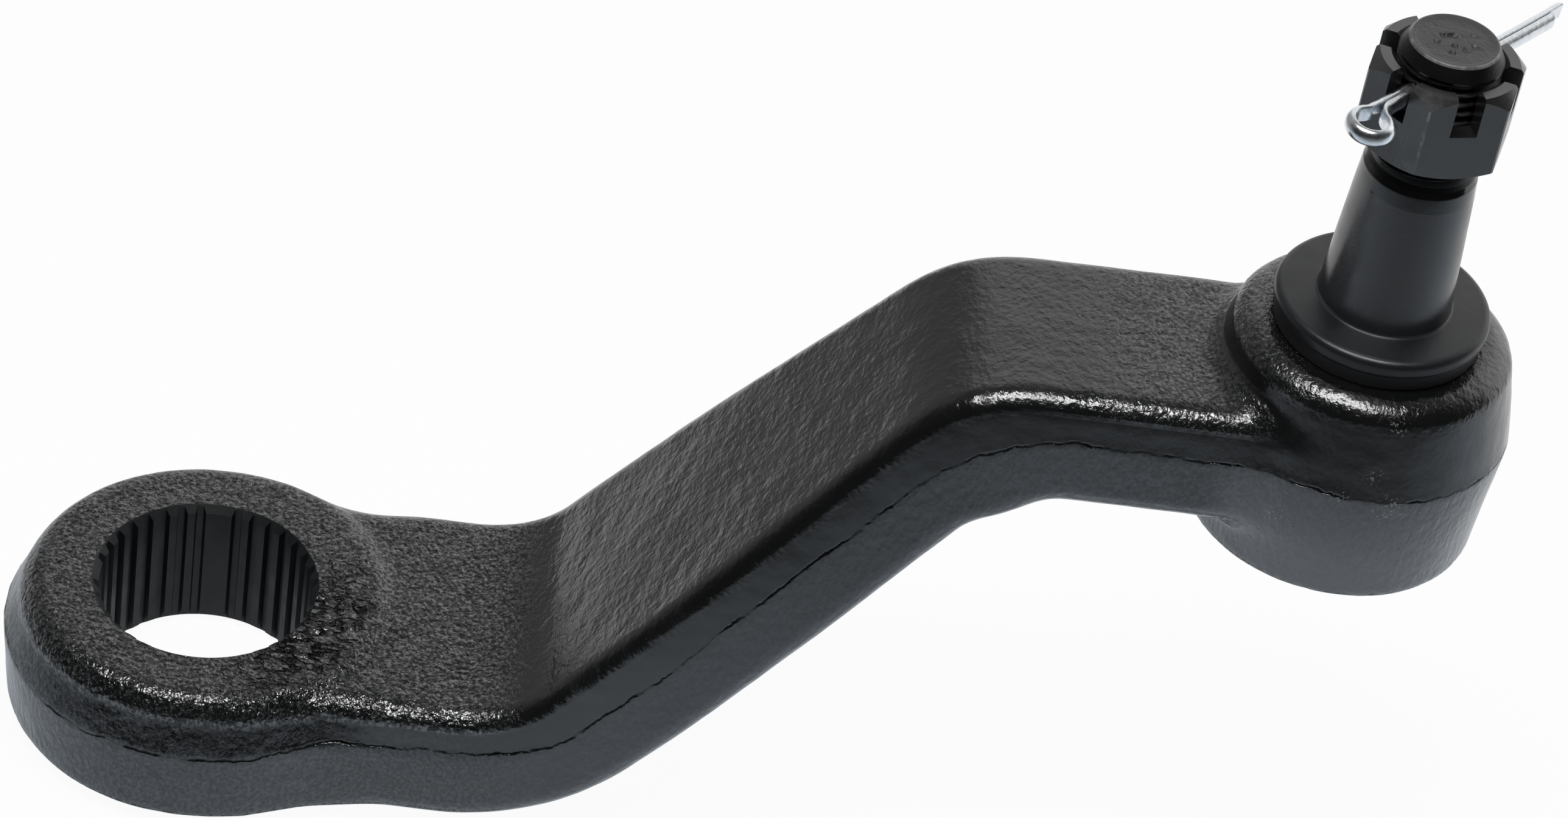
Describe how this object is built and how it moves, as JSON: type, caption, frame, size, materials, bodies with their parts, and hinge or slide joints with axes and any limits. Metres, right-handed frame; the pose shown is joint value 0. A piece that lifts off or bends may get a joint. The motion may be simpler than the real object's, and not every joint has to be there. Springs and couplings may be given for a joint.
{
  "type": "pitman arm",
  "caption": "Forged S-bent steering arm with a splined eye for a sector shaft and a boss in which a tapered stud turns, closed by a slotted nut and a cotter pin.",
  "frame": {"origin": "middle of the splined bore, on its axis, halfway up the eye", "axes": "+Z along the bore axis towards the side the stud stands on, +X towards the stud axis, +Y across the arm"},
  "size_m": [0.2052, 0.057, 0.1419],
  "materials": {
    "forging_paint": "satin black paint over a forged skin",
    "stud_steel": "black oxide on turned steel",
    "nut_steel": "black oxide with bright worn edges",
    "zinc_wire": "bright zinc plate",
    "seal_rubber": "matt black rubber",
    "bushing_steel": "ground hardened steel",
    "spring_steel": "blued spring steel",
    "washer_steel": "plain steel"
  },
  "bodies": {
    "arm": {"arm_forging": "forging_paint", "dust_seal": "seal_rubber", "upper_bushing": "bushing_steel", "lower_bushing": "bushing_steel", "spring_washer": "spring_steel", "cover_plate": "forging_paint"},
    "stud": {"stud": "stud_steel", "castle_nut": "nut_steel", "cotter_pin": "zinc_wire", "retaining_washer": "washer_steel"}
  },
  "joints": [
    {"name": "stud_turn", "type": "hinge", "parent": "arm", "child": "stud", "pos_m": [0.155, 0, 0.1], "axis": [0, 0, 1], "continuous": true}
  ]
}
